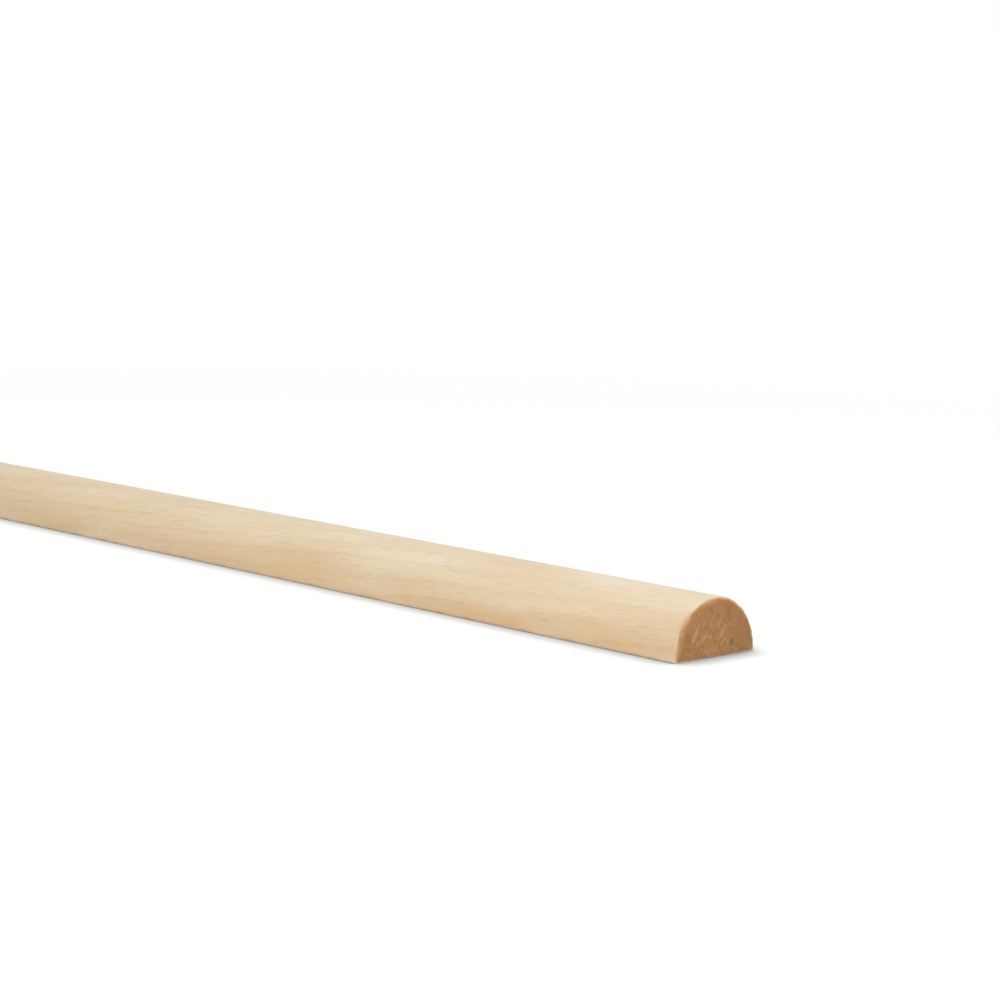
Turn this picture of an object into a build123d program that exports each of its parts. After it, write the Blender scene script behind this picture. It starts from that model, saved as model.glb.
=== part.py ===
from build123d import *

import os

# Split dowel rod: a length of half-round birch stock, made from a round dowel sawn in two along its length.
# The rod lies on its split face, as half-round stock rests on a bench. X runs along the rod, Y across it and
# Z up from the flat. The origin is at the middle of the flat. Lengths are in millimetres.

# Driving dimensions
dowel_diameter = 19.05  # 3/4 in dowel that the rod was split from
rod_length = 304.8  # 12 in stock length
axis_height = 0.4  # the dowel's axis lies this far above the split, so the rod is a little over half a dowel
arris_radius = 0.4  # easing of the two long edges, where the flat meets the round
end_edge_radius = 0.2  # easing of the edge round each sawn end


def half_round_section():
    """The dowel's circle above the split, with the two sharp corners of the flat eased."""
    dowel = Pos(0, axis_height) * Circle(dowel_diameter / 2)
    other_half = Pos(0, -dowel_diameter / 2) * Rectangle(dowel_diameter, dowel_diameter)
    section = dowel - other_half
    return fillet(section.vertices(), arris_radius)


def sawn_rod():
    """The section run along the whole length and sawn square at both ends, with the end edges eased."""
    bar = extrude(Plane.YZ * half_round_section(), amount=rod_length / 2, both=True)
    faces_along_rod = bar.faces().sort_by(Axis.X)
    end_edges = faces_along_rod.first.edges() + faces_along_rod.last.edges()
    return fillet(end_edges, end_edge_radius)


os.makedirs("parts", exist_ok=True)
export_step(sawn_rod(), "parts/split_dowel_rod.step")
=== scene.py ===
import math
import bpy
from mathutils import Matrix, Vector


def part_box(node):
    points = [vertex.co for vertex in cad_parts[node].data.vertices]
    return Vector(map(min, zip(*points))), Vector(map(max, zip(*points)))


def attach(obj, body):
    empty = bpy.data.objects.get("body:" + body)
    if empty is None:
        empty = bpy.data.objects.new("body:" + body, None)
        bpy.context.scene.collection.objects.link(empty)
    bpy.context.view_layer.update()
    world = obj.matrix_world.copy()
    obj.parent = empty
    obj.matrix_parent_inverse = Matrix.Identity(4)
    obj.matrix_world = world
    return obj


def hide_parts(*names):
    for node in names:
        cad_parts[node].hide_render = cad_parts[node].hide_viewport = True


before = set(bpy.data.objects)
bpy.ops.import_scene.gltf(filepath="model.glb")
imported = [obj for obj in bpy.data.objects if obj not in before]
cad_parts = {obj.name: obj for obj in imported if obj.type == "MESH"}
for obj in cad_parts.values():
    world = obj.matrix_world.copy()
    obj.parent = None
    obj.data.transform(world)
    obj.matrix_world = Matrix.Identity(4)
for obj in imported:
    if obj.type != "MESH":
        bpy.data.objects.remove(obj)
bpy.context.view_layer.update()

from types import SimpleNamespace

import bpy
from mathutils import Matrix, Vector

# Split dowel rod: half-round birch stock, lying on its split face. X runs along the rod, Y across it, Z up.
# The near end is at +X and the front at -Y. Left and right are as seen by someone who faces the near end.

MM = 0.001
NODE = "split_dowel_rod"

# Sizes of the rod, in metres
rod_low, rod_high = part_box(NODE)
ROD_LENGTH = rod_high.x - rod_low.x
DOWEL_RADIUS = (rod_high.y - rod_low.y) / 2
AXIS_HEIGHT = 0.4 * MM  # the dowel's axis above the split
ARRIS_RADIUS = 0.4 * MM  # easing of the two long edges
END_EDGE_RADIUS = 0.2 * MM  # easing of the edge round each sawn end
NEAR_END_MM = ROD_LENGTH / 2 / MM

# How finely the rod's surface is divided: rows from the middle to an end, and columns round the section
ROWS_ON_SIDE = 180
ROWS_TO_END = ROWS_ON_SIDE + 4  # past the eased edge
ROWS_TO_POLE = ROWS_TO_END + 36  # past the rings that close the end
ROW_CROWDING = 1.3  # above 1 the rows lie closer together towards the ends
COLUMNS_TO_ROUND = 5  # past the first arris
COLUMNS_TO_ARRIS = COLUMNS_TO_ROUND + 112  # past the round face
COLUMNS_TO_FLAT = COLUMNS_TO_ARRIS + 5  # past the other arris
COLUMNS = COLUMNS_TO_FLAT + 60
POLE_HEIGHT_SHARE = 0.45  # how high the rings of an end close, as a share of the dowel's radius
MERGE_WITHIN = 0.001 * MM

# Marks of making and handling. All are cut into the rod, so none stands proud of it
SANDING_HOLLOW = 0.03 * MM  # shallow hollows along the round face
SANDING_HOLLOW_SIZE = Vector((60.0, 8.0, 8.0)) * MM
ARRIS_NICK = 0.22 * MM  # knocks along the two long edges
ARRIS_NICK_SIZE = Vector((3.5, 3.0, 3.0)) * MM
RIM_TEAR = 0.16 * MM  # fibres that the saw pulled out round an end
RIM_TEAR_SIZE = Vector((2.0, 1.6, 1.6)) * MM
RIM_TEAR_REACH = 0.9 * MM  # along the side
RIM_TEAR_RINGS = 0.9  # on the end, as a share of the way from its middle to its rim
SAW_MARK = 0.07 * MM  # ridges that the saw left across an end
SAW_MARK_SIZE = Vector((1.0, 4.5, 0.8)) * MM
SAW_MARK_SLANT = math.radians(47)  # from the flat, seen from the near end

# The map for baked pictures: the sides fill its lower part, and the two ends stand side by side above them
MAP_NAME = "OFBake"
MAP_MARGIN = 0.004
MAP_SIDES_TOP = 0.745
MAP_BORDER = 0.75
MAP_ENDS_FOOT = 0.755
MAP_END_OFFSET = 0.25  # from the map's middle to the middle of an end
MAP_END_WIDE = 0.24  # a dowel radius across an end
MAP_END_HIGH = 0.225  # a dowel radius up an end

# The wood: the pith lies below the rod's front edge, and the fibres run out towards the crown at the near end
PITH_BEARING = math.radians(227)  # seen from the near end, anticlockwise from +Y
PITH_DISTANCE_MM = 42.0
PITH_AWAY = -Vector((0.0, math.cos(PITH_BEARING), math.sin(PITH_BEARING)))
PITH_PLACE = -PITH_AWAY * PITH_DISTANCE_MM * MM
FIBRE_DRIFT = math.radians(2.7)  # towards +Y
FIBRE_RISE = math.radians(2.9)  # towards +Z
RING_WIDTH_MM = 3.1
RING_UNEVEN_SIZE_MM = (120.0, 7.0, 7.0)
RING_UNEVEN_YEARS = 1.6
RING_STOPS = ((0.08, 0.0), (0.6, 0.2), (0.93, 1.0))  # share of the year, and how dense the wood is by then
WAVER_SIZE_MM = (60.0, 12.0, 12.0)
WAVER_MM = 1.2
WOOD_IOR = 1.5

# The sanded sides. Birch closes its year with little dense wood, so the rings are faint
# Warmer and darker towards the foot of the front: partly the wood's own tone near the pith, partly painted
# warm shade
SANDED_NEAR_PITH_AND_SHADE = "#E9CEA5"
SANDED_FAR_FROM_PITH = "#F0DFC2"
SANDED_PITH_AND_SHADE_SIDE = -0.7 * DOWEL_RADIUS  # how far towards the pith, at the foot of the front, the colour and its painted warm shade are strongest
SANDED_RING = "#C9A069"
SANDED_RING_STRENGTH = 0.1
SANDED_RELIEF = 0.05 * MM
SANDED_RELIEF_STRENGTH = 0.5
SANDED_ROUGHNESS = 0.6

# The sawn ends
SAWN_EARLY_WOOD = "#B68451"
SAWN_RING = "#8B6136"
SAWN_RING_STRENGTH = 0.22
SAWN_RELIEF = 0.08 * MM
SAWN_RELIEF_STRENGTH = 0.6
SAWN_ROUGHNESS = 0.8

# Places where the colour changes, some of them painted shade: middle and half size in mm, how strong it is
# there, and its colour
LONG_GRAIN_PATCHES = (
    ((88.0, -4.0, 9.0), (30.0, 6.5, 6.0), 0.5, "#F6ECD8"),  # paler, high on the front
    ((56.0, -9.0, 5.0), (24.0, 4.0, 4.0), 0.3, "#DDB484"),  # browner, half way up the front
    ((130.0, -9.5, 0.5), (80.0, 6.0, 4.5), 0.5, "#E3B27A"),  # painted warm shade, amber, along the foot of the front towards the near end
    ((-60.0, -9.0, 2.0), (75.0, 9.0, 8.0), 0.4, "#D9BC90"),  # duller, on the front past the middle
    ((NEAR_END_MM, 1.0, 0.0), (0.7, 13.0, 0.7), 0.9, "#7A5432"),  # painted shade, dark under the foot of the near end where it meets the table
    ((NEAR_END_MM + 0.2, -7.3, 6.4), (1.2, 4.0, 4.0), 0.75, "#D39A6B"),  # worn, at its upper left rim
)
END_GRAIN_PATCHES = (
    ((NEAR_END_MM, 4.0, 2.0), (3.0, 1.0, 1.0), 0.75, "#6A5733"),  # a dark speck low on the near end
    ((NEAR_END_MM, 7.5, 3.0), (3.0, 6.0, 6.0), 0.3, "#8C673D"),  # darker on its right
    ((NEAR_END_MM, -9.5, 1.6), (3.0, 1.1, 2.4), 0.85, "#E6C290"),  # the worn foot of its left rim
    ((NEAR_END_MM, -7.9, 6.0), (3.0, 1.8, 3.2), 0.9, "#D09A68"),  # the worn upper part of that rim
)

# Bands round the rim of an end: the middle that each is drawn round, the distances from it at which the band
# starts and is full, how ragged it is, all in mm, its strength and its colour
RADIUS_MM = DOWEL_RADIUS / MM
RIM_BANDS = (
    # warm brown, under the crown
    ((0.0, 0.9, -0.8), 9.2, 10.8, 0.8, 0.7, "#D3843C"),
    # paler, on the left
    ((0.0, 1.0, -0.2), 9.4, 10.6, 2.0, 0.8, "#E4B78C"),
    # the broken edge itself: pale torn fibres, and painted highlight where the eased edge catches light
    ((0.0, 0.0, AXIS_HEIGHT / MM), RADIUS_MM - 0.55, RADIUS_MM - 0.25, 0.4, 0.75, "#F0D2A2"),
)
RIM_RAGGED_SIZE_MM = (6.0, 1.3, 1.3)

# Where the saw tore the wood of an end, low and to the left of its middle, over any length of the rod
TORN_MIDDLE_MM = (0.0, -1.8, 3.4)
TORN_HALF_SIZE_MM = (1000.0, 7.0, 4.6)
TORN_FULL_WITHIN = 0.6  # as a share of the half size
TORN_RAYS = 0.75  # how strong rays and flecks are there
UNTORN_RAYS = 0.2

# Camera: where it stands from the middle of the near end's lower edge, and how it looks
CAMERA_FROM_NEAR_END = Vector((268.68, -297.87, 78.27)) * MM
CAMERA_BEARING = math.radians(47.07)
CAMERA_DIP = math.radians(7.61)
CAMERA_ROLL = math.radians(1.13)
CAMERA_LENS_MM = 90.7
CAMERA_SENSOR_MM = 36.0
CAMERA_CLIP_START = 10 * MM

# Light and table, in metres and watts
SURROUNDINGS_LEVEL = 0.48
SOFTBOX_PLACE = Vector((0.32, -0.2, 0.58))
SOFTBOX_WIDTH = 0.6
SOFTBOX_POWER = 2.5
TABLE_HALF_SIZE = 5.0
TABLE_GLOW = 0.78  # with the light that falls on it, this makes the table white
TABLE_PLAIN_FROM = 0.25  # further out than this the table fades to plain white
TABLE_PLAIN_BEYOND = 0.5
CONTACT_REACH = 6.0 * MM  # how far the shadow that hugs the rod reaches
CONTACT_SAMPLES = 16
CONTACT_CLOSED = 0.45  # the share of open surroundings at which that shadow is full
CONTACT_DARKEST = 0.28  # how bright the table is there, as a share of its own brightness
CONTACT_LIGHTEST = 0.95  # and where the surroundings are all open


def linear(hex_colour):
    """An sRGB hex colour as linear RGBA."""
    parts = [int(hex_colour[i : i + 2], 16) / 255 for i in (1, 3, 5)]
    return [p / 12.92 if p <= 0.04045 else ((p + 0.055) / 1.055) ** 2.4 for p in parts] + [1.0]


def add(tree, kind, inputs=None, **settings):
    """Adds a node, sets its options, and gives each named or numbered input a value, or links it to a node.

    By number, Map Range's inputs 1 and 2 are the range that it takes, and 3 and 4 the range that it gives.
    """
    node = tree.nodes.new(kind)
    for option, value in settings.items():
        setattr(node, option, value)
    for key, value in (inputs or {}).items():
        sockets = [s for s in node.inputs if s.enabled and s.name == key]
        socket = node.inputs[key] if isinstance(key, int) else sockets[0]
        if isinstance(value, bpy.types.Node):
            value = next(s for s in value.outputs if s.enabled)
        if isinstance(value, bpy.types.NodeSocket):
            tree.links.new(value, socket)
        else:
            socket.default_value = value
    return node


def new_material(name):
    """An empty node material, and its tree."""
    material = bpy.data.materials.new(name)
    material.use_nodes = True
    material.node_tree.nodes.clear()
    return material, material.node_tree


def wood_space(tree):
    """Millimetres in the tree trunk: X along the fibres, with the pith at the origin, and a slow waver."""
    trunk = add(
        tree,
        "ShaderNodeMapping",
        {
            "Vector": add(tree, "ShaderNodeTexCoord").outputs["Object"],
            "Location": PITH_PLACE,
            "Rotation": (0.0, -FIBRE_RISE, FIBRE_DRIFT),
            "Scale": (MM, MM, MM),
        },
        vector_type="TEXTURE",
    )
    slow = add(tree, "ShaderNodeMapping", {"Vector": trunk, "Scale": WAVER_SIZE_MM}, vector_type="TEXTURE")
    waver = add(tree, "ShaderNodeTexNoise", {"Vector": slow, "Scale": 1.0, "Detail": 1.0}).outputs["Color"]
    centred = add(tree, "ShaderNodeVectorMath", {0: waver, 1: (0.5, 0.5, 0.5)}, operation="SUBTRACT")
    shift = add(
        tree, "ShaderNodeVectorMath", {0: centred, 1: (0.0, WAVER_MM, WAVER_MM)}, operation="MULTIPLY"
    )
    return add(tree, "ShaderNodeVectorMath", {0: trunk, 1: shift}, operation="ADD")


def growth_rings(tree, space):
    """Distance from the pith, and how far each place is into the dense close of its year's ring, 0 to 1."""
    parts = add(tree, "ShaderNodeSeparateXYZ", {0: space}).outputs
    across = add(tree, "ShaderNodeCombineXYZ", {"Y": parts["Y"], "Z": parts["Z"]})
    distance = add(tree, "ShaderNodeVectorMath", {0: across}, operation="LENGTH").outputs["Value"]
    slow = add(
        tree, "ShaderNodeMapping", {"Vector": space, "Scale": RING_UNEVEN_SIZE_MM}, vector_type="TEXTURE"
    )
    uneven = add(tree, "ShaderNodeTexNoise", {"Vector": slow, "Scale": 1.0, "Detail": 1.0})
    swing = add(tree, "ShaderNodeMath", {0: uneven, 1: RING_UNEVEN_YEARS}, operation="MULTIPLY")
    years = add(
        tree, "ShaderNodeMath", {0: distance, 1: 1 / RING_WIDTH_MM, 2: swing}, operation="MULTIPLY_ADD"
    )
    year = add(tree, "ShaderNodeMath", {0: years}, operation="FRACT")
    close = add(tree, "ShaderNodeValToRGB", {0: year})
    stops = close.color_ramp.elements
    stops[0].position, stops[0].color = 0.0, (0.0, 0.0, 0.0, 1.0)
    stops[1].position, stops[1].color = 1.0, (0.0, 0.0, 0.0, 1.0)
    for position, level in RING_STOPS:
        stop = stops.new(position)
        stop.color = (level, level, level, 1.0)
    return distance, close


def lay_patches(tree, colour, patches):
    """Tints a colour in rounded patches, each strongest in its middle."""
    place = add(tree, "ShaderNodeTexCoord").outputs["Object"]
    for middle, half_size, strength, tint in patches:
        from_middle = add(
            tree,
            "ShaderNodeMapping",
            {"Vector": place, "Location": Vector(middle) * MM, "Scale": Vector(half_size) * MM},
            vector_type="TEXTURE",
        )
        way_out = add(tree, "ShaderNodeVectorMath", {0: from_middle}, operation="LENGTH").outputs["Value"]
        patch = add(
            tree,
            "ShaderNodeMapRange",
            {"Value": way_out, 1: 1.0, 2: 0.0, 3: 0.0, 4: strength},
            interpolation_type="SMOOTHSTEP",
        )
        colour = add(
            tree, "ShaderNodeMix", {"Factor": patch, "A": colour, "B": linear(tint)}, data_type="RGBA"
        )
    return colour


def lay_marks(tree, colour, marks, step):
    """Lays noise marks over a colour, and gives the new colour and each mark's strength by name.

    Each mark: name, the space it is drawn in, size in mm, detail, where its noise starts and ends to show,
    how strong it is at most, and its colour. The step, in mm, sets each mark's noise apart from the others.
    """
    strengths = {}
    for name, space, size, detail, starts, ends, most, tint in marks:
        sized = add(
            tree,
            "ShaderNodeMapping",
            {"Vector": space, "Location": Vector(step) * len(strengths), "Scale": size},
            vector_type="TEXTURE",
        )
        noise = add(tree, "ShaderNodeTexNoise", {"Vector": sized, "Scale": 1.0, "Detail": detail})
        shown = add(tree, "ShaderNodeMapRange", {"Value": noise, 1: starts, 2: ends, 3: 0.0, 4: most})
        colour = add(
            tree, "ShaderNodeMix", {"Factor": shown, "A": colour, "B": linear(tint)}, data_type="RGBA"
        )
        strengths[name] = shown
    return colour, strengths


def birch_long_grain():
    """Birch, turned and sanded along the grain: pale and nearly even, with short fine vessel lines."""
    material, tree = new_material("birch_long_grain_sanded")
    space = wood_space(tree)
    _, late = growth_rings(tree, space)
    # The colour is warmest towards the pith, at the foot of the front, and palest away from it: partly the
    # wood's own tone, partly painted warm shade on the lower front
    place = add(tree, "ShaderNodeTexCoord").outputs["Object"]
    from_pith_and_shade = add(tree, "ShaderNodeVectorMath", {0: place, 1: PITH_AWAY}, operation="DOT_PRODUCT")
    outward = add(
        tree,
        "ShaderNodeMapRange",
        {"Value": from_pith_and_shade.outputs["Value"], 1: SANDED_PITH_AND_SHADE_SIDE, 2: DOWEL_RADIUS},
    )
    colour = add(
        tree,
        "ShaderNodeMix",
        {"Factor": outward, "A": linear(SANDED_NEAR_PITH_AND_SHADE), "B": linear(SANDED_FAR_FROM_PITH)},
        data_type="RGBA",
    )
    colour = lay_patches(tree, colour, LONG_GRAIN_PATCHES)
    ring = add(tree, "ShaderNodeMath", {0: late, 1: SANDED_RING_STRENGTH}, operation="MULTIPLY")
    colour = add(
        tree, "ShaderNodeMix", {"Factor": ring, "A": colour, "B": linear(SANDED_RING)}, data_type="RGBA"
    )
    # Fibres and vessels are about 0.1 mm wide or less, and are drawn coarser so that they show
    marks = (
        ("pale cloud", space, (30.0, 5.0, 5.0), 2.0, 0.48, 0.72, 0.42, "#F6ECD6"),
        ("warm cloud", space, (45.0, 7.0, 7.0), 1.0, 0.5, 0.75, 0.3, "#DDB27E"),
        ("streak", space, (28.0, 1.4, 1.4), 2.0, 0.5, 0.75, 0.08, "#CBA670"),
        ("fibre", space, (3.2, 0.46, 0.46), 1.0, 0.45, 0.75, 0.1, "#C9A069"),
        ("vessel", space, (3.4, 0.4, 0.4), 0.0, 0.62, 0.76, 0.15, "#B58C5A"),
    )
    colour, strengths = lay_marks(tree, colour, marks, (11.0, 5.0, 3.0))
    hollow = add(
        tree, "ShaderNodeMath", {0: strengths["vessel"], 1: strengths["fibre"]}, operation="ADD"
    )
    relief = add(
        tree,
        "ShaderNodeBump",
        {"Height": hollow, "Strength": SANDED_RELIEF_STRENGTH, "Distance": SANDED_RELIEF},
        invert=True,
    )
    shader = add(
        tree,
        "ShaderNodeBsdfPrincipled",
        {"Base Color": colour, "Roughness": SANDED_ROUGHNESS, "IOR": WOOD_IOR, "Normal": relief},
    )
    add(tree, "ShaderNodeOutputMaterial", {"Surface": shader})
    return material


def birch_end_grain():
    """Birch, sawn across the grain: brown and dull, with year rings, light rays and open pores."""
    material, tree = new_material("birch_end_grain_sawn")
    space = wood_space(tree)
    distance, late = growth_rings(tree, space)
    ring = add(tree, "ShaderNodeMath", {0: late, 1: SAWN_RING_STRENGTH}, operation="MULTIPLY")
    colour = add(
        tree,
        "ShaderNodeMix",
        {"Factor": ring, "A": linear(SAWN_EARLY_WOOD), "B": linear(SAWN_RING)},
        data_type="RGBA",
    )
    # Rays run straight out from the pith, so they are drawn in a fan: X away from the pith, Y round it
    parts = add(tree, "ShaderNodeSeparateXYZ", {0: space}).outputs
    bearing = add(tree, "ShaderNodeMath", {0: parts["Z"], 1: parts["Y"]}, operation="ARCTAN2")
    round_pith = add(tree, "ShaderNodeMath", {0: bearing, 1: PITH_DISTANCE_MM}, operation="MULTIPLY")
    fan = add(tree, "ShaderNodeCombineXYZ", {"X": distance, "Y": round_pith})
    # Rays and flecks are strongest where the saw tore the wood
    place = add(tree, "ShaderNodeTexCoord").outputs["Object"]
    from_torn = add(
        tree,
        "ShaderNodeMapping",
        {
            "Vector": place,
            "Location": Vector(TORN_MIDDLE_MM) * MM,
            "Scale": Vector(TORN_HALF_SIZE_MM) * MM,
        },
        vector_type="TEXTURE",
    )
    way_out = add(tree, "ShaderNodeVectorMath", {0: from_torn}, operation="LENGTH").outputs["Value"]
    torn = add(
        tree,
        "ShaderNodeMapRange",
        {"Value": way_out, 1: 1.0, 2: TORN_FULL_WITHIN, 3: UNTORN_RAYS, 4: TORN_RAYS},
        interpolation_type="SMOOTHSTEP",
    )
    # Pores are about 0.1 mm wide, and are drawn coarser so that they show
    marks = (
        ("red blotch", space, (6.0, 3.2, 3.2), 1.0, 0.45, 0.7, 0.35, "#BC7B4A"),
        ("dull blotch", space, (6.0, 1.8, 1.8), 2.0, 0.48, 0.7, 0.5, "#926A3A"),
        ("ray", fan, (3.2, 0.95, 1.0), 1.0, 0.54, 0.74, torn, "#CFA371"),
        ("fleck", space, (0.9, 0.8, 0.8), 1.0, 0.58, 0.74, torn, "#CFA371"),
        ("pore", space, (0.6, 0.26, 0.26), 0.0, 0.58, 0.78, 0.3, "#82592F"),
    )
    colour, strengths = lay_marks(tree, colour, marks, (7.0, 4.0, 9.0))
    # The broken edge of the rim is pale, partly torn fibres and partly painted highlight, and the wood inside
    # it warmer
    sized = add(
        tree, "ShaderNodeMapping", {"Vector": space, "Scale": RIM_RAGGED_SIZE_MM}, vector_type="TEXTURE"
    )
    noise = add(tree, "ShaderNodeTexNoise", {"Vector": sized, "Scale": 1.0, "Detail": 2.0})
    ragged = add(tree, "ShaderNodeMath", {0: noise, 1: 0.5}, operation="SUBTRACT")
    for middle, starts, full, raggedness, strength, tint in RIM_BANDS:
        off_middle = add(
            tree, "ShaderNodeVectorMath", {0: place, 1: Vector(middle) * MM}, operation="SUBTRACT"
        )
        across = add(tree, "ShaderNodeVectorMath", {0: off_middle, 1: (0.0, 1.0, 1.0)}, operation="MULTIPLY")
        radius = add(tree, "ShaderNodeVectorMath", {0: across}, operation="LENGTH").outputs["Value"]
        uneven = add(
            tree, "ShaderNodeMath", {0: ragged, 1: raggedness * MM, 2: radius}, operation="MULTIPLY_ADD"
        )
        band = add(
            tree, "ShaderNodeMapRange", {"Value": uneven, 1: starts * MM, 2: full * MM, 3: 0.0, 4: strength}
        )
        colour = add(
            tree, "ShaderNodeMix", {"Factor": band, "A": colour, "B": linear(tint)}, data_type="RGBA"
        )
    colour = lay_patches(tree, colour, END_GRAIN_PATCHES)
    raised = add(
        tree, "ShaderNodeMath", {0: strengths["ray"], 1: strengths["pore"]}, operation="SUBTRACT"
    )
    relief = add(
        tree,
        "ShaderNodeBump",
        {"Height": raised, "Strength": SAWN_RELIEF_STRENGTH, "Distance": SAWN_RELIEF},
    )
    shader = add(
        tree,
        "ShaderNodeBsdfPrincipled",
        {"Base Color": colour, "Roughness": SAWN_ROUGHNESS, "IOR": WOOD_IOR, "Normal": relief},
    )
    add(tree, "ShaderNodeOutputMaterial", {"Surface": shader})
    return material


def run_along(tree, given, row, towards):
    """Along the rod: the straight side, the eased end edge, then rings that close the end."""
    spare = add(tree, "ShaderNodeMapRange", {"Value": row, 1: 0.0, 2: ROWS_ON_SIDE, 3: 1.0, 4: 0.0})
    crowded = add(tree, "ShaderNodeMath", {0: spare, 1: ROW_CROWDING}, operation="POWER")
    share = add(tree, "ShaderNodeMath", {0: 1.0, 1: crowded}, operation="SUBTRACT")
    edge_turn = add(
        tree, "ShaderNodeMapRange", {"Value": row, 1: ROWS_ON_SIDE, 2: ROWS_TO_END, 3: 0.0, 4: math.pi / 2}
    )
    ring = add(
        tree, "ShaderNodeMapRange", {"Value": row, 1: ROWS_TO_END, 2: ROWS_TO_POLE, 3: 1.0, 4: 0.0}
    )
    half_length = add(tree, "ShaderNodeMath", {0: given["Rod Length"], 1: 0.5}, operation="MULTIPLY")
    half_side = add(
        tree, "ShaderNodeMath", {0: half_length, 1: given["End Edge Radius"]}, operation="SUBTRACT"
    )
    side_reach = add(tree, "ShaderNodeMath", {0: share, 1: half_side}, operation="MULTIPLY")
    edge_sine = add(tree, "ShaderNodeMath", {0: edge_turn}, operation="SINE")
    edge_cosine = add(tree, "ShaderNodeMath", {0: edge_turn}, operation="COSINE")
    reach = add(
        tree,
        "ShaderNodeMath",
        {0: edge_sine, 1: given["End Edge Radius"], 2: side_reach},
        operation="MULTIPLY_ADD",
    )
    x = add(tree, "ShaderNodeMath", {0: reach, 1: towards}, operation="MULTIPLY")
    edge_left = add(tree, "ShaderNodeMath", {0: 1.0, 1: edge_cosine}, operation="SUBTRACT")
    inset = add(tree, "ShaderNodeMath", {0: edge_left, 1: given["End Edge Radius"]}, operation="MULTIPLY")
    return SimpleNamespace(
        x=x,
        inset=inset,
        ring=ring,
        half_side=half_side,
        side_reach=side_reach,
        edge_turn=edge_turn,
        edge_sine=edge_sine,
        edge_cosine=edge_cosine,
    )


def run_round(tree, given, column, inset):
    """Round the section: an arris, the round face, the other arris, then the flat."""
    # The middles of the arris arcs, from the circle that touches the round and the flat
    short_radius = add(
        tree, "ShaderNodeMath", {0: given["Dowel Radius"], 1: given["Arris Radius"]}, operation="SUBTRACT"
    )
    rise = add(
        tree, "ShaderNodeMath", {0: given["Arris Radius"], 1: given["Axis Height"]}, operation="SUBTRACT"
    )
    rise_share = add(tree, "ShaderNodeMath", {0: rise, 1: short_radius}, operation="DIVIDE")
    lift = add(tree, "ShaderNodeMath", {0: rise_share}, operation="ARCSINE")
    lift_cosine = add(tree, "ShaderNodeMath", {0: lift}, operation="COSINE")
    half_flat = add(tree, "ShaderNodeMath", {0: short_radius, 1: lift_cosine}, operation="MULTIPLY")

    # Which way the surface faces, turning on through the three arcs
    arris_sweep = add(tree, "ShaderNodeMath", {0: lift, 1: math.pi / 2}, operation="ADD")
    round_sweep = add(tree, "ShaderNodeMath", {0: lift, 1: -2.0, 2: math.pi}, operation="MULTIPLY_ADD")
    on_first = add(tree, "ShaderNodeMapRange", {"Value": column, 1: 0.0, 2: COLUMNS_TO_ROUND})
    on_round = add(tree, "ShaderNodeMapRange", {"Value": column, 1: COLUMNS_TO_ROUND, 2: COLUMNS_TO_ARRIS})
    on_last = add(tree, "ShaderNodeMapRange", {"Value": column, 1: COLUMNS_TO_ARRIS, 2: COLUMNS_TO_FLAT})
    on_flat = add(tree, "ShaderNodeMapRange", {"Value": column, 1: COLUMNS_TO_FLAT, 2: COLUMNS})
    facing = -math.pi / 2
    for share, sweep in ((on_first, arris_sweep), (on_round, round_sweep), (on_last, arris_sweep)):
        facing = add(tree, "ShaderNodeMath", {0: share, 1: sweep, 2: facing}, operation="MULTIPLY_ADD")
    facing_cosine = add(tree, "ShaderNodeMath", {0: facing}, operation="COSINE")
    facing_sine = add(tree, "ShaderNodeMath", {0: facing}, operation="SINE")

    # The middle and radius of the arc that each column is on
    past_first = add(
        tree, "ShaderNodeMath", {0: column, 1: COLUMNS_TO_ROUND + 0.5}, operation="GREATER_THAN"
    )
    before_last = add(tree, "ShaderNodeMath", {0: column, 1: COLUMNS_TO_ARRIS - 0.5}, operation="LESS_THAN")
    is_round = add(tree, "ShaderNodeMath", {0: past_first, 1: before_last}, operation="MULTIPLY")
    is_first_half = add(tree, "ShaderNodeMath", {0: column, 1: COLUMNS_TO_FLAT / 2}, operation="LESS_THAN")
    side_sign = add(tree, "ShaderNodeMath", {0: is_first_half, 1: 2.0, 2: -1.0}, operation="MULTIPLY_ADD")
    arris_y = add(tree, "ShaderNodeMath", {0: side_sign, 1: half_flat}, operation="MULTIPLY")
    centre_y = add(tree, "ShaderNodeMix", {"Factor": is_round, "A": arris_y, "B": 0.0})
    centre_z = add(
        tree, "ShaderNodeMix", {"Factor": is_round, "A": given["Arris Radius"], "B": given["Axis Height"]}
    )
    radius = add(
        tree, "ShaderNodeMix", {"Factor": is_round, "A": given["Arris Radius"], "B": given["Dowel Radius"]}
    )
    drawn_radius = add(tree, "ShaderNodeMath", {0: radius, 1: inset}, operation="SUBTRACT")
    flat_width = add(tree, "ShaderNodeMath", {0: half_flat, 1: 2.0}, operation="MULTIPLY")
    flat_y = add(tree, "ShaderNodeMath", {0: on_flat, 1: flat_width, 2: centre_y}, operation="MULTIPLY_ADD")
    y = add(
        tree, "ShaderNodeMath", {0: drawn_radius, 1: facing_cosine, 2: flat_y}, operation="MULTIPLY_ADD"
    )
    z = add(
        tree, "ShaderNodeMath", {0: drawn_radius, 1: facing_sine, 2: centre_z}, operation="MULTIPLY_ADD"
    )
    return SimpleNamespace(
        y=y,
        z=z,
        on_first=on_first,
        on_round=on_round,
        on_last=on_last,
        facing_cosine=facing_cosine,
        facing_sine=facing_sine,
    )


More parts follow.
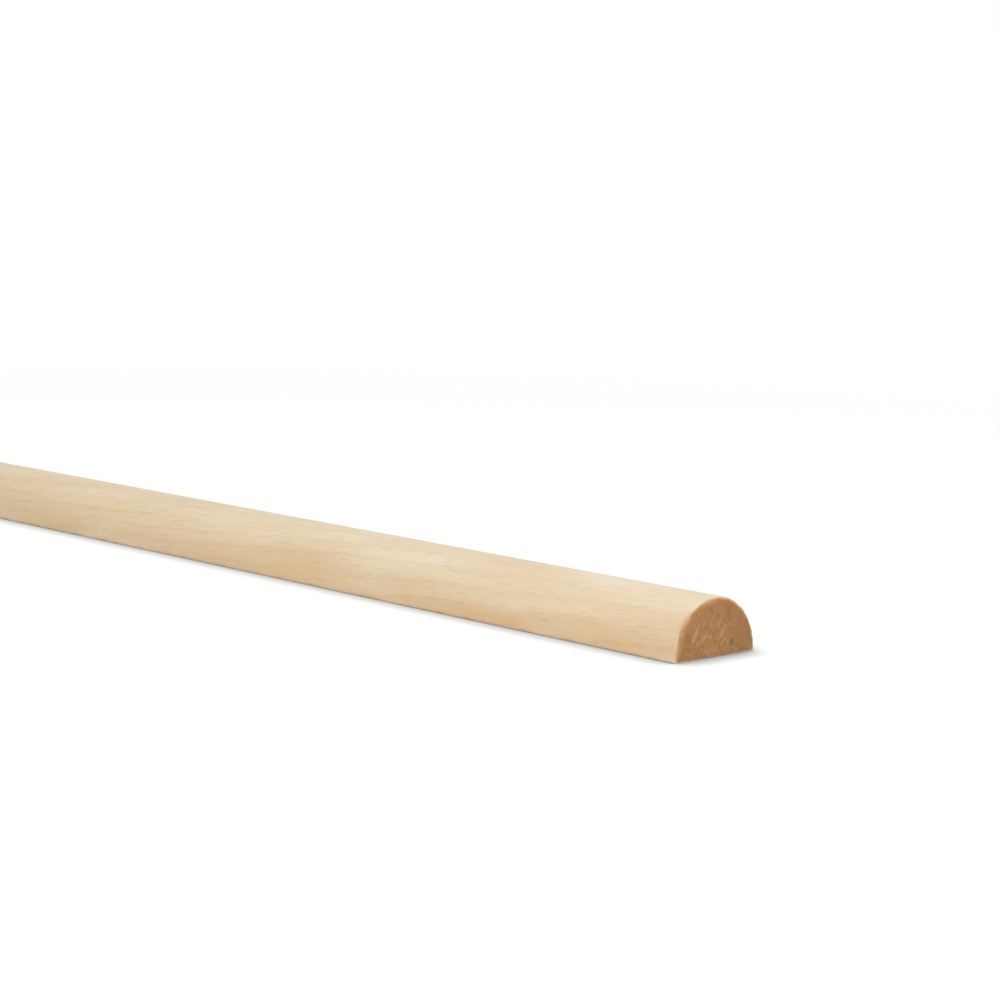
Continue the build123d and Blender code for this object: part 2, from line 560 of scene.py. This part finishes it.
def depth_of_marks(tree, given, along, section, smooth_point):
    """How deep the marks of making and handling cut, all together."""
    round_turn = add(tree, "ShaderNodeMath", {0: section.on_round, 1: math.pi}, operation="MULTIPLY")
    round_share = add(tree, "ShaderNodeMath", {0: round_turn}, operation="SINE")
    arris_way = add(tree, "ShaderNodeMath", {0: section.on_first, 1: section.on_last}, operation="ADD")
    arris_turn = add(tree, "ShaderNodeMath", {0: arris_way, 1: math.pi}, operation="MULTIPLY")
    arris_sine = add(tree, "ShaderNodeMath", {0: arris_turn}, operation="SINE")
    arris_share = add(tree, "ShaderNodeMath", {0: arris_sine}, operation="ABSOLUTE")
    long_round = add(tree, "ShaderNodeMath", {0: round_share, 1: along.edge_cosine}, operation="MULTIPLY")
    long_arris = add(tree, "ShaderNodeMath", {0: arris_share, 1: along.edge_cosine}, operation="MULTIPLY")
    to_rim = add(tree, "ShaderNodeMath", {0: along.half_side, 1: along.side_reach}, operation="SUBTRACT")
    rim_side = add(
        tree,
        "ShaderNodeMapRange",
        {"Value": to_rim, 1: 0.0, 2: RIM_TEAR_REACH, 3: 1.0, 4: 0.0},
        interpolation_type="SMOOTHSTEP",
    )
    rim_end = add(
        tree,
        "ShaderNodeMapRange",
        {"Value": along.ring, 1: RIM_TEAR_RINGS, 2: 1.0},
        interpolation_type="SMOOTHSTEP",
    )
    rim_share = add(tree, "ShaderNodeMath", {0: rim_side, 1: rim_end}, operation="MULTIPLY")
    slanted = add(
        tree,
        "ShaderNodeVectorRotate",
        {"Vector": smooth_point, "Angle": -SAW_MARK_SLANT},
        rotation_type="X_AXIS",
    )
    # Each mark: the input with its depth, where on the surface it comes, where its noise is drawn,
    # its size, and where the noise starts and ends to show
    depth = 0.0
    for name, share, space, size, starts, ends in (
        ("Sanding Hollow", long_round, smooth_point, SANDING_HOLLOW_SIZE, 0.3, 0.7),
        ("Arris Nick", long_arris, smooth_point, ARRIS_NICK_SIZE, 0.5, 0.75),
        ("Rim Tear", rim_share, smooth_point, RIM_TEAR_SIZE, 0.45, 0.75),
        ("Saw Mark", along.edge_sine, slanted, SAW_MARK_SIZE, 0.3, 0.7),
    ):
        sized = add(tree, "ShaderNodeVectorMath", {0: space, 1: size}, operation="DIVIDE")
        noise = add(tree, "ShaderNodeTexNoise", {"Vector": sized, "Scale": 1.0, "Detail": 2.0})
        shown = add(
            tree, "ShaderNodeMapRange", {"Value": noise, 1: starts, 2: ends, 3: 0.0, 4: given[name]}
        )
        depth = add(tree, "ShaderNodeMath", {0: shown, 1: share, 2: depth}, operation="MULTIPLY_ADD")
    return depth


def place_on_map(tree, given, row, column, towards, along, ring_y, ring_z):
    """Where each face corner lies on the map for baked pictures."""
    edge_walk = add(
        tree,
        "ShaderNodeMath",
        {0: along.edge_turn, 1: given["End Edge Radius"], 2: along.side_reach},
        operation="MULTIPLY_ADD",
    )
    whole_walk = add(
        tree,
        "ShaderNodeMath",
        {0: given["End Edge Radius"], 1: math.pi / 2, 2: along.half_side},
        operation="MULTIPLY_ADD",
    )
    walk_share = add(tree, "ShaderNodeMath", {0: edge_walk, 1: whole_walk}, operation="DIVIDE")
    walk = add(tree, "ShaderNodeMath", {0: walk_share, 1: towards}, operation="MULTIPLY")
    side_u = add(
        tree, "ShaderNodeMath", {0: walk, 1: 0.5 - MAP_MARGIN, 2: 0.5}, operation="MULTIPLY_ADD"
    )
    side_v = add(
        tree, "ShaderNodeMapRange", {"Value": column, 1: 0.0, 2: COLUMNS, 3: MAP_MARGIN, 4: MAP_SIDES_TOP}
    )
    side_place = add(tree, "ShaderNodeCombineXYZ", {"X": side_u, "Y": side_v})
    end_middle = add(
        tree, "ShaderNodeMath", {0: towards, 1: MAP_END_OFFSET, 2: 0.5}, operation="MULTIPLY_ADD"
    )
    end_across = add(tree, "ShaderNodeMath", {0: ring_y, 1: given["Dowel Radius"]}, operation="DIVIDE")
    end_up = add(tree, "ShaderNodeMath", {0: ring_z, 1: given["Dowel Radius"]}, operation="DIVIDE")
    end_u = add(
        tree, "ShaderNodeMath", {0: end_across, 1: MAP_END_WIDE, 2: end_middle}, operation="MULTIPLY_ADD"
    )
    end_v = add(
        tree, "ShaderNodeMath", {0: end_up, 1: MAP_END_HIGH, 2: MAP_ENDS_FOOT}, operation="MULTIPLY_ADD"
    )
    end_place = add(tree, "ShaderNodeCombineXYZ", {"X": end_u, "Y": end_v})
    face_row = add(tree, "GeometryNodeFieldOnDomain", {"Value": row}, domain="FACE")
    is_end = add(
        tree, "FunctionNodeCompare", {"A": face_row, "B": float(ROWS_TO_END)}, operation="GREATER_THAN"
    )
    return add(
        tree,
        "GeometryNodeSwitch",
        {"Switch": is_end, "False": side_place, "True": end_place},
        input_type="VECTOR",
    )


def half_round_tree():
    """The rod as a rule: a sheet of rows and columns, rolled round the section and closed at both ends."""
    tree = bpy.data.node_groups.new("half_round_rod", "GeometryNodeTree")
    sockets = {}
    for name, kind in (
        ("Rod Length", "NodeSocketFloat"),
        ("Dowel Radius", "NodeSocketFloat"),
        ("Axis Height", "NodeSocketFloat"),
        ("Arris Radius", "NodeSocketFloat"),
        ("End Edge Radius", "NodeSocketFloat"),
        ("Sanding Hollow", "NodeSocketFloat"),
        ("Arris Nick", "NodeSocketFloat"),
        ("Rim Tear", "NodeSocketFloat"),
        ("Saw Mark", "NodeSocketFloat"),
        ("Long Grain", "NodeSocketMaterial"),
        ("End Grain", "NodeSocketMaterial"),
    ):
        sockets[name] = tree.interface.new_socket(name=name, in_out="INPUT", socket_type=kind).identifier
    tree.interface.new_socket(name="Rod", in_out="OUTPUT", socket_type="NodeSocketGeometry")
    given = add(tree, "NodeGroupInput").outputs

    # A flat sheet with one cell to a unit: rows run both ways from the middle, columns from one side
    sheet = add(
        tree,
        "GeometryNodeMeshGrid",
        {
            "Size X": 2.0 * ROWS_TO_POLE,
            "Size Y": float(COLUMNS),
            "Vertices X": 2 * ROWS_TO_POLE + 1,
            "Vertices Y": COLUMNS + 1,
        },
    )
    cell = add(tree, "ShaderNodeSeparateXYZ", {0: add(tree, "GeometryNodeInputPosition")}).outputs
    row = add(tree, "ShaderNodeMath", {0: cell["X"]}, operation="ABSOLUTE")
    towards = add(tree, "ShaderNodeMath", {0: cell["X"]}, operation="SIGN")
    column = add(tree, "ShaderNodeMath", {0: cell["Y"], 1: COLUMNS / 2}, operation="ADD")
    along = run_along(tree, given, row, towards)
    section = run_round(tree, given, column, along.inset)

    # The rings of an end shrink towards a point on the section's middle line
    pole_height = add(
        tree, "ShaderNodeMath", {0: given["Dowel Radius"], 1: POLE_HEIGHT_SHARE}, operation="MULTIPLY"
    )
    ring_y = add(tree, "ShaderNodeMath", {0: section.y, 1: along.ring}, operation="MULTIPLY")
    z_above = add(tree, "ShaderNodeMath", {0: section.z, 1: pole_height}, operation="SUBTRACT")
    ring_z = add(
        tree, "ShaderNodeMath", {0: z_above, 1: along.ring, 2: pole_height}, operation="MULTIPLY_ADD"
    )
    smooth_point = add(tree, "ShaderNodeCombineXYZ", {"X": along.x, "Y": ring_y, "Z": ring_z})

    # The marks go straight in from the smooth surface
    depth = depth_of_marks(tree, given, along, section, smooth_point)
    outward_x = add(tree, "ShaderNodeMath", {0: along.edge_sine, 1: towards}, operation="MULTIPLY")
    outward_y = add(
        tree, "ShaderNodeMath", {0: along.edge_cosine, 1: section.facing_cosine}, operation="MULTIPLY"
    )
    outward_z = add(
        tree, "ShaderNodeMath", {0: along.edge_cosine, 1: section.facing_sine}, operation="MULTIPLY"
    )
    outward = add(tree, "ShaderNodeCombineXYZ", {"X": outward_x, "Y": outward_y, "Z": outward_z})
    inward = add(tree, "ShaderNodeMath", {0: depth, 1: -1.0}, operation="MULTIPLY")
    cut = add(tree, "ShaderNodeVectorMath", {0: outward, "Scale": inward}, operation="SCALE")
    point = add(tree, "ShaderNodeVectorMath", {0: smooth_point, 1: cut}, operation="ADD")

    mapped = add(
        tree,
        "GeometryNodeStoreNamedAttribute",
        {
            "Geometry": sheet.outputs["Mesh"],
            "Name": MAP_NAME,
            "Value": place_on_map(tree, given, row, column, towards, along, ring_y, ring_z),
        },
        data_type="FLOAT2",
        domain="CORNER",
    )
    rolled = add(tree, "GeometryNodeSetPosition", {"Geometry": mapped, "Position": point})
    closed = add(tree, "GeometryNodeMergeByDistance", {"Geometry": rolled, "Distance": MERGE_WITHIN})
    outward_faces = add(tree, "GeometryNodeFlipFaces", {"Mesh": closed})
    smooth = add(tree, "GeometryNodeSetShadeSmooth", {"Geometry": outward_faces})
    real = add(tree, "GeometryNodeRealizeInstances", {"Geometry": smooth})
    dressed = add(tree, "GeometryNodeSetMaterial", {"Geometry": real, "Material": given["Long Grain"]})
    # The sawn ends are the faces that the map puts above the sides
    map_place = add(tree, "GeometryNodeInputNamedAttribute", {"Name": MAP_NAME}, data_type="FLOAT_VECTOR")
    map_height = add(tree, "ShaderNodeSeparateXYZ", {0: map_place}).outputs["Y"]
    is_sawn = add(
        tree, "FunctionNodeCompare", {"A": map_height, "B": MAP_BORDER}, operation="GREATER_THAN"
    )
    dressed = add(
        tree,
        "GeometryNodeSetMaterial",
        {"Geometry": dressed, "Selection": is_sawn, "Material": given["End Grain"]},
    )
    add(tree, "NodeGroupOutput", {"Rod": dressed})
    return tree, sockets


def make_rod():
    """The rod's surface as a plain mesh."""
    tree, sockets = half_round_tree()
    holder = bpy.data.objects.new("rod_rule", bpy.data.meshes.new("rod_rule"))
    bpy.context.scene.collection.objects.link(holder)
    rule = holder.modifiers.new("half_round", "NODES")
    rule.node_group = tree
    for name, value in (
        ("Rod Length", ROD_LENGTH),
        ("Dowel Radius", DOWEL_RADIUS),
        ("Axis Height", AXIS_HEIGHT),
        ("Arris Radius", ARRIS_RADIUS),
        ("End Edge Radius", END_EDGE_RADIUS),
        ("Sanding Hollow", SANDING_HOLLOW),
        ("Arris Nick", ARRIS_NICK),
        ("Rim Tear", RIM_TEAR),
        ("Saw Mark", SAW_MARK),
        ("Long Grain", birch_long_grain()),
        ("End Grain", birch_end_grain()),
    ):
        rule[sockets[name]] = value
    evaluated = holder.evaluated_get(bpy.context.evaluated_depsgraph_get())
    mesh = bpy.data.meshes.new_from_object(evaluated)
    bpy.data.objects.remove(holder)
    mesh.name = "half_round_rod"
    rod = bpy.data.objects.new("half_round_rod", mesh)
    bpy.context.scene.collection.objects.link(rod)
    return rod


def seen_directly(tree):
    """1 for what the camera sees, also in or through a surface, and 0 for light that falls on things."""
    path = add(tree, "ShaderNodeLightPath").outputs
    seen = add(
        tree, "ShaderNodeMath", {0: path["Is Camera Ray"], 1: path["Is Glossy Ray"]}, operation="MAXIMUM"
    )
    return add(tree, "ShaderNodeMath", {0: seen, 1: path["Is Transmission Ray"]}, operation="MAXIMUM")


def make_table():
    """A plain white table, with no edge in sight. It keeps the rod's shadow, which hugs the rod."""
    mesh = bpy.data.meshes.new("table")
    corners = [
        (x * TABLE_HALF_SIZE, y * TABLE_HALF_SIZE, 0.0) for x, y in ((-1, -1), (1, -1), (1, 1), (-1, 1))
    ]
    mesh.from_pydata(corners, [], [(0, 1, 2, 3)])
    material, tree = new_material("white_table")
    bounce = add(tree, "ShaderNodeBsdfDiffuse", {"Color": linear("#F6F6F6")})
    # Near the rod: lit white, darkened where the rod hides the surroundings
    shaded = add(tree, "ShaderNodeBsdfDiffuse", {"Color": linear("#AAAAAA")})
    glow = add(tree, "ShaderNodeEmission", {"Color": linear("#FFFFFF"), "Strength": TABLE_GLOW})
    lit = add(tree, "ShaderNodeAddShader", {0: shaded, 1: glow})
    open_sky = add(
        tree, "ShaderNodeAmbientOcclusion", {"Distance": CONTACT_REACH}, samples=CONTACT_SAMPLES
    ).outputs["AO"]
    contact = add(
        tree,
        "ShaderNodeMapRange",
        {"Value": open_sky, 1: CONTACT_CLOSED, 2: 1.0, 3: CONTACT_DARKEST, 4: CONTACT_LIGHTEST},
    )
    near = add(tree, "ShaderNodeMixShader", {0: contact, 2: lit})
    # Further out: plain white
    place = add(tree, "ShaderNodeTexCoord").outputs["Object"]
    away = add(tree, "ShaderNodeVectorMath", {0: place}, operation="LENGTH").outputs["Value"]
    far_share = add(
        tree,
        "ShaderNodeMapRange",
        {"Value": away, 1: TABLE_PLAIN_FROM, 2: TABLE_PLAIN_BEYOND},
        interpolation_type="SMOOTHSTEP",
    )
    far = add(tree, "ShaderNodeEmission", {"Color": linear("#FFFFFF"), "Strength": 1.0})
    shown = add(tree, "ShaderNodeMixShader", {0: far_share, 1: near, 2: far})
    surface = add(tree, "ShaderNodeMixShader", {0: seen_directly(tree), 1: bounce, 2: shown})
    add(tree, "ShaderNodeOutputMaterial", {"Surface": surface})
    mesh.materials.append(material)
    table = bpy.data.objects.new("table", mesh)
    bpy.context.scene.collection.objects.link(table)


def light_scene():
    """Soft white surroundings, and one large soft lamp above the near end, a little in front."""
    world = bpy.data.worlds.new("white_studio")
    bpy.context.scene.world = world
    world.use_nodes = True
    tree = world.node_tree
    tree.nodes.clear()
    level = add(tree, "ShaderNodeMapRange", {"Value": seen_directly(tree), 3: SURROUNDINGS_LEVEL, 4: 1.0})
    background = add(tree, "ShaderNodeBackground", {"Color": linear("#FFFFFF"), "Strength": level})
    add(tree, "ShaderNodeOutputWorld", {"Surface": background})

    lamp = bpy.data.lights.new("softbox", "AREA")
    lamp.shape = "DISK"
    lamp.size = SOFTBOX_WIDTH
    lamp.energy = SOFTBOX_POWER
    softbox = bpy.data.objects.new("softbox", lamp)
    softbox.location = SOFTBOX_PLACE
    softbox.rotation_euler = (-SOFTBOX_PLACE).to_track_quat("-Z", "Y").to_euler()
    bpy.context.scene.collection.objects.link(softbox)


def place_camera():
    """Low and in front of the near end, looking back along the rod."""
    data = bpy.data.cameras.new("camera")
    data.sensor_width = CAMERA_SENSOR_MM
    data.lens = CAMERA_LENS_MM
    data.clip_start = CAMERA_CLIP_START
    camera = bpy.data.objects.new("camera", data)
    camera.location = Vector((ROD_LENGTH / 2, 0, 0)) + CAMERA_FROM_NEAR_END
    turned = Matrix.Rotation(CAMERA_BEARING, 3, "Z") @ Matrix.Rotation(math.pi / 2 - CAMERA_DIP, 3, "X")
    camera.rotation_euler = (turned @ Matrix.Rotation(CAMERA_ROLL, 3, "Z")).to_euler()
    bpy.context.scene.collection.objects.link(camera)
    bpy.context.scene.camera = camera


rod = make_rod()
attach(rod, "root")
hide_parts(NODE)
make_table()
light_scene()
place_camera()
bpy.context.scene.view_settings.view_transform = "Standard"
